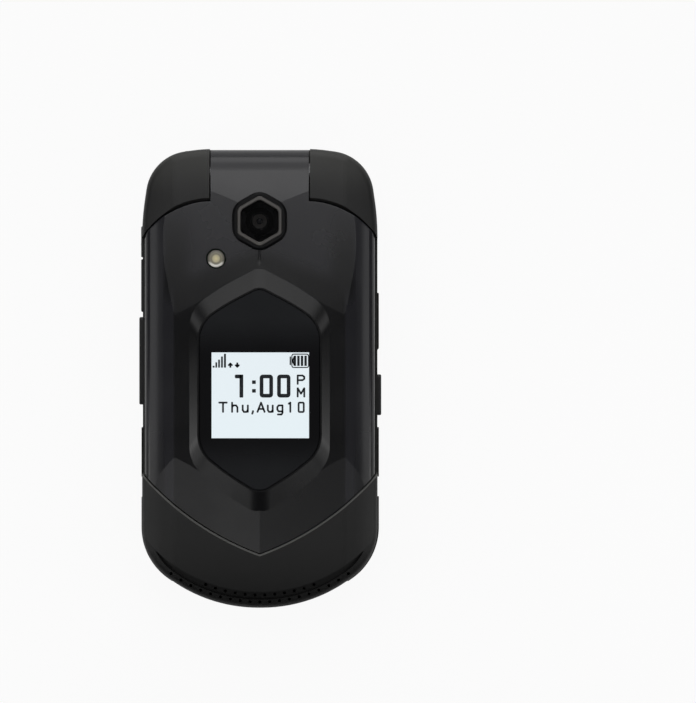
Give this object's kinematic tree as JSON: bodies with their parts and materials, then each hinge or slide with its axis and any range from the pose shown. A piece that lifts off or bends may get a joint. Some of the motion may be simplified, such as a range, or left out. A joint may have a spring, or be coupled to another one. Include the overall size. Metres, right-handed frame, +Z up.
{
  "type": "flip phone",
  "caption": "Rugged clamshell phone, closed, with an outer display in a hexagonal window, a camera, side keys, port covers, hinged lid over a keypad and a lockable battery door.",
  "frame": {"origin": "under the middle of the closed phone, on the plane of the battery door's grip bands it lies on", "axes": "+Z up out of the lid, +Y towards the hinge, +X to the right-hand side seen from the front of the closed phone"},
  "size_m": [0.0594, 0.112, 0.0226],
  "materials": {
    "shell": "satin painted plastic",
    "rear_shell": "finely textured plastic",
    "grip_rubber": "matte",
    "inner_shell": "satin",
    "window": "polished, tinted",
    "clear_glass": "polished",
    "display": "lit",
    "bezel": "satin",
    "ring": "anodised",
    "lens_module": "gloss",
    "flash": "frosted",
    "board": "solder mask",
    "film": "clear film",
    "steel": "turned",
    "lock_metal": "dark anodised",
    "gold": "gold plated",
    "black_plastic": "moulded",
    "battery_wrap": "wrapped",
    "key": "satin"
  },
  "bodies": {
    "base": {"front_cover": "shell", "rear_case": "rear_shell", "battery": "battery_wrap", "battery_contacts": "gold", "card_socket": "steel", "lock_socket": "black_plastic", "charging_contacts": "gold", "main_circuit_board": "board", "keypad_dome_sheet": "film", "loudspeaker": "black_plastic", "vibration_motor": "steel", "usb_port": "steel", "headset_jack": "black_plastic", "hinge_pivot_pin": "steel", "chassis_screws": "steel", "side_grips": "grip_rubber"},
    "lid": {"lid_outer_cover": "shell", "lid_inner_cover": "inner_shell", "display_lens": "clear_glass", "main_display": "display", "lid_circuit_board": "board", "sub_display": "display", "sub_display_window": "window", "camera_bezel": "bezel", "camera_ring": "ring", "camera_glass": "clear_glass", "camera_module": "lens_module", "flash_lens": "flash", "earpiece": "black_plastic", "lid_bumpers": "grip_rubber", "lid_screws": "steel", "hinge_cam_module": "steel"},
    "door": {"battery_door": "rear_shell", "door_seal": "grip_rubber"},
    "lock": {"lock_screw": "lock_metal"},
    "soft_key_left_body": {"soft_key_left": "key"},
    "soft_key_right_body": {"soft_key_right": "key"},
    "nav_ring_body": {"nav_ring": "key"},
    "ok_key_body": {"ok_key": "key"},
    "send_key_body": {"send_key": "key"},
    "clear_key_body": {"clear_key": "key"},
    "end_key_body": {"end_key": "key"},
    "key_1_body": {"key_1": "key"},
    "key_2_body": {"key_2": "key"},
    "key_3_body": {"key_3": "key"},
    "key_4_body": {"key_4": "key"},
    "key_5_body": {"key_5": "key"},
    "key_6_body": {"key_6": "key"},
    "key_7_body": {"key_7": "key"},
    "key_8_body": {"key_8": "key"},
    "key_9_body": {"key_9": "key"},
    "key_star_body": {"key_star": "key"},
    "key_0_body": {"key_0": "key"},
    "key_hash_body": {"key_hash": "key"},
    "volume_rocker_body": {"volume_rocker": "key"},
    "ptt_key_body": {"ptt_key": "key"},
    "speaker_key_body": {"speaker_key": "key"},
    "usb_cover_body": {"usb_cover": "grip_rubber"},
    "headset_cover_body": {"headset_cover": "grip_rubber"}
  },
  "joints": [
    {"name": "lid_hinge", "type": "hinge", "parent": "base", "child": "lid", "pos_m": [0, 0.0502, 0.0145], "axis": [-1, 0, 0], "range_deg": [0, 155]},
    {"name": "door_lift", "type": "slide", "parent": "base", "child": "door", "axis": [0, 0, -1], "range_m": [0, 0.02]},
    {"name": "lock_turn", "type": "hinge", "parent": "door", "child": "lock", "pos_m": [0, -0.0327, 0.0005], "axis": [0, 0, 1], "range_deg": [0, 90]},
    {"name": "soft_key_left_press", "type": "slide", "parent": "base", "child": "soft_key_left_body", "axis": [0, 0, -1], "range_m": [0, 0.00035], "stiffness_N_per_m": 300, "springref_m": -0.0005},
    {"name": "soft_key_right_press", "type": "slide", "parent": "base", "child": "soft_key_right_body", "axis": [0, 0, -1], "range_m": [0, 0.00035], "stiffness_N_per_m": 300, "springref_m": -0.0005},
    {"name": "nav_ring_press", "type": "slide", "parent": "base", "child": "nav_ring_body", "axis": [0, 0, -1], "range_m": [0, 0.00035], "stiffness_N_per_m": 300, "springref_m": -0.0005},
    {"name": "ok_key_press", "type": "slide", "parent": "base", "child": "ok_key_body", "axis": [0, 0, -1], "range_m": [0, 0.00035], "stiffness_N_per_m": 300, "springref_m": -0.0005},
    {"name": "send_key_press", "type": "slide", "parent": "base", "child": "send_key_body", "axis": [0, 0, -1], "range_m": [0, 0.00035], "stiffness_N_per_m": 300, "springref_m": -0.0005},
    {"name": "clear_key_press", "type": "slide", "parent": "base", "child": "clear_key_body", "axis": [0, 0, -1], "range_m": [0, 0.00035], "stiffness_N_per_m": 300, "springref_m": -0.0005},
    {"name": "end_key_press", "type": "slide", "parent": "base", "child": "end_key_body", "axis": [0, 0, -1], "range_m": [0, 0.00035], "stiffness_N_per_m": 300, "springref_m": -0.0005},
    {"name": "key_1_press", "type": "slide", "parent": "base", "child": "key_1_body", "axis": [0, 0, -1], "range_m": [0, 0.00035], "stiffness_N_per_m": 300, "springref_m": -0.0005},
    {"name": "key_2_press", "type": "slide", "parent": "base", "child": "key_2_body", "axis": [0, 0, -1], "range_m": [0, 0.00035], "stiffness_N_per_m": 300, "springref_m": -0.0005},
    {"name": "key_3_press", "type": "slide", "parent": "base", "child": "key_3_body", "axis": [0, 0, -1], "range_m": [0, 0.00035], "stiffness_N_per_m": 300, "springref_m": -0.0005},
    {"name": "key_4_press", "type": "slide", "parent": "base", "child": "key_4_body", "axis": [0, 0, -1], "range_m": [0, 0.00035], "stiffness_N_per_m": 300, "springref_m": -0.0005},
    {"name": "key_5_press", "type": "slide", "parent": "base", "child": "key_5_body", "axis": [0, 0, -1], "range_m": [0, 0.00035], "stiffness_N_per_m": 300, "springref_m": -0.0005},
    {"name": "key_6_press", "type": "slide", "parent": "base", "child": "key_6_body", "axis": [0, 0, -1], "range_m": [0, 0.00035], "stiffness_N_per_m": 300, "springref_m": -0.0005},
    {"name": "key_7_press", "type": "slide", "parent": "base", "child": "key_7_body", "axis": [0, 0, -1], "range_m": [0, 0.00035], "stiffness_N_per_m": 300, "springref_m": -0.0005},
    {"name": "key_8_press", "type": "slide", "parent": "base", "child": "key_8_body", "axis": [0, 0, -1], "range_m": [0, 0.00035], "stiffness_N_per_m": 300, "springref_m": -0.0005},
    {"name": "key_9_press", "type": "slide", "parent": "base", "child": "key_9_body", "axis": [0, 0, -1], "range_m": [0, 0.00035], "stiffness_N_per_m": 300, "springref_m": -0.0005},
    {"name": "key_star_press", "type": "slide", "parent": "base", "child": "key_star_body", "axis": [0, 0, -1], "range_m": [0, 0.00035], "stiffness_N_per_m": 300, "springref_m": -0.0005},
    {"name": "key_0_press", "type": "slide", "parent": "base", "child": "key_0_body", "axis": [0, 0, -1], "range_m": [0, 0.00035], "stiffness_N_per_m": 300, "springref_m": -0.0005},
    {"name": "key_hash_press", "type": "slide", "parent": "base", "child": "key_hash_body", "axis": [0, 0, -1], "range_m": [0, 0.00035], "stiffness_N_per_m": 300, "springref_m": -0.0005},
    {"name": "volume_rocker_press", "type": "slide", "parent": "base", "child": "volume_rocker_body", "axis": [1, 0, 0], "range_m": [0, 0.0003], "stiffness_N_per_m": 400, "springref_m": -0.0005},
    {"name": "ptt_key_press", "type": "slide", "parent": "base", "child": "ptt_key_body", "axis": [1, 0, 0], "range_m": [0, 0.0003], "stiffness_N_per_m": 400, "springref_m": -0.0005},
    {"name": "speaker_key_press", "type": "slide", "parent": "base", "child": "speaker_key_body", "axis": [-1, 0, 0], "range_m": [0, 0.0003], "stiffness_N_per_m": 400, "springref_m": -0.0005},
    {"name": "usb_cover_hinge", "type": "hinge", "parent": "base", "child": "usb_cover_body", "pos_m": [0.02846, 0.0076, 0.0087], "axis": [0, 0, -1], "range_deg": [0, 100]},
    {"name": "headset_cover_hinge", "type": "hinge", "parent": "base", "child": "headset_cover_body", "pos_m": [-0.01805, 0.0551, 0.009], "axis": [0, 0, 1], "range_deg": [0, 100]}
  ]
}
